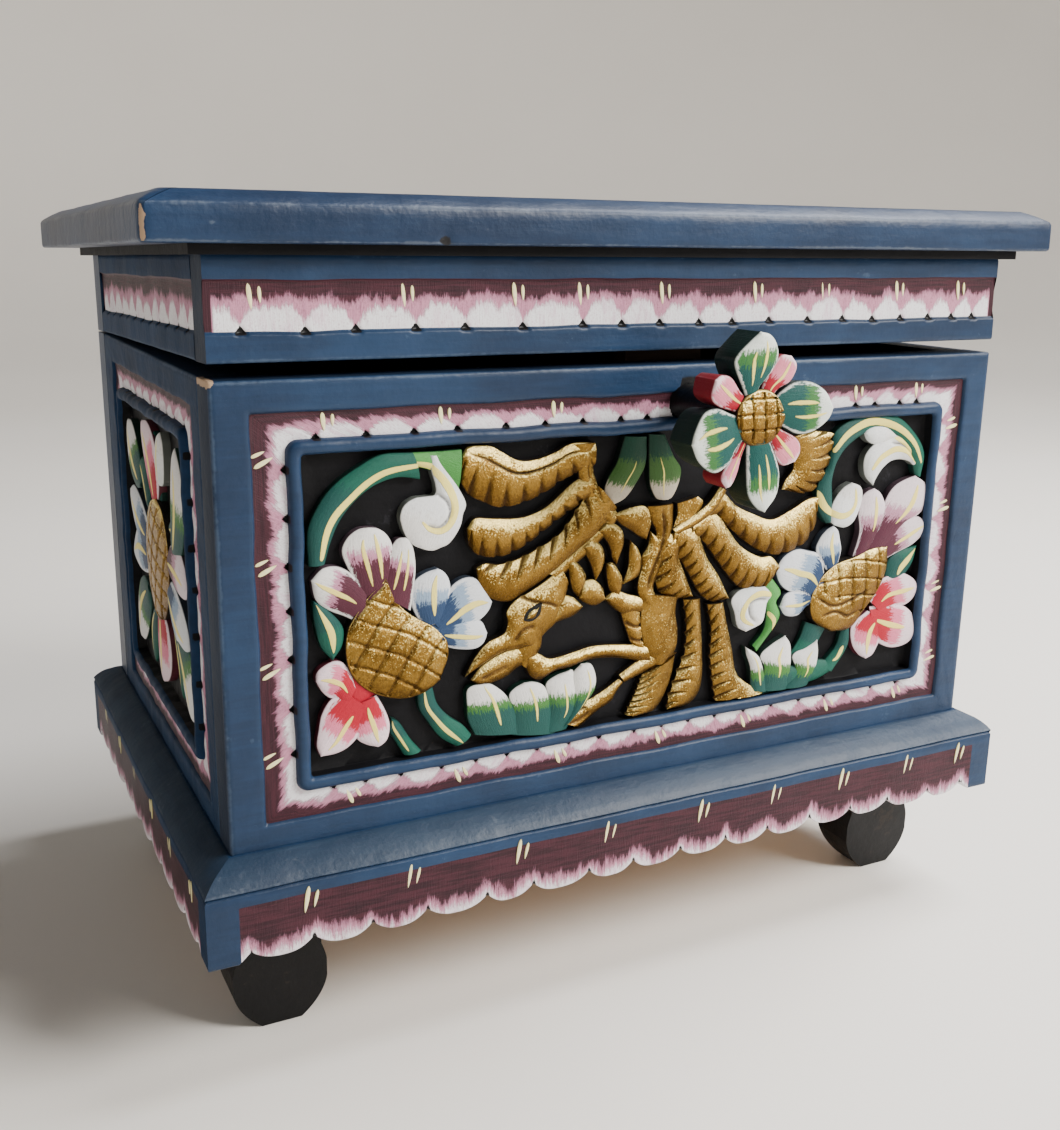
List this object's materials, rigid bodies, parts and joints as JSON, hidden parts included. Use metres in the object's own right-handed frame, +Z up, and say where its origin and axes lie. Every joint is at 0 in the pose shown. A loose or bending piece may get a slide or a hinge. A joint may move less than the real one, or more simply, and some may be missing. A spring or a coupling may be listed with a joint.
{
  "type": "carved wooden box",
  "caption": "Rectangular wooden box on four feet, with a hinged overhanging lid, carved and painted panels, a scalloped plinth and a sliding flower-shaped locking peg.",
  "frame": {"origin": "on the floor, in the middle of the whole object's box in X and Y; the body's front face is at Y -98.4 mm and its back face at Y 129.6 mm", "axes": "+X to the right as seen from the front, +Y to the back, +Z up"},
  "size_m": [0.391, 0.2974, 0.3191],
  "materials": {
    "carved_front": "hand-carved and brush-painted in blue, maroon, pink, white, green and gold",
    "blue_paint": "satin blue paint, rubbed on the edges",
    "plinth_paint": "blue and maroon paint with a brushed pink and white edge",
    "black_paint": "black paint, chipped",
    "bare_wood": "plain sanded wood",
    "flower_paint": "green, pink and gold paint with white brushed tips",
    "brass": "dull brass",
    "iron": "dull iron"
  },
  "bodies": {
    "box": {"front_board": "carved_front", "side_board_left": "carved_front", "side_board_right": "carved_front", "back_board": "blue_paint", "bottom_board": "bare_wood", "front_nails": "iron", "back_nails": "iron", "plinth_front": "plinth_paint", "plinth_right": "plinth_paint", "plinth_back": "plinth_paint", "plinth_left": "plinth_paint", "foot_front_left": "black_paint", "foot_front_right": "black_paint", "foot_rear_left": "black_paint", "foot_rear_right": "black_paint", "hinge_left_body_leaf": "brass", "hinge_right_body_leaf": "brass", "hinge_left_pin": "iron", "hinge_right_pin": "iron", "hinge_screws_body": "brass"},
    "lid": {"lid_board": "blue_paint", "lid_bed_board": "black_paint", "lid_rail_front": "carved_front", "lid_rail_back": "blue_paint", "lid_rail_left": "carved_front", "lid_rail_right": "carved_front", "lid_tongue": "bare_wood", "lid_nails": "iron", "hinge_left_lid_leaf": "brass", "hinge_right_lid_leaf": "brass", "hinge_screws_lid": "brass"},
    "flower_peg": {"lock_peg": "black_paint", "flower_knob": "flower_paint"}
  },
  "joints": [
    {"name": "lid_hinge", "type": "hinge", "parent": "box", "child": "lid", "pos_m": [0, 0.13249, 0.2583], "axis": [-1, 0, 0], "range_deg": [-1.25, 155]},
    {"name": "peg_slide", "type": "slide", "parent": "box", "child": "flower_peg", "axis": [0, 1, 0], "range_m": [-0.01, 0.027]}
  ]
}
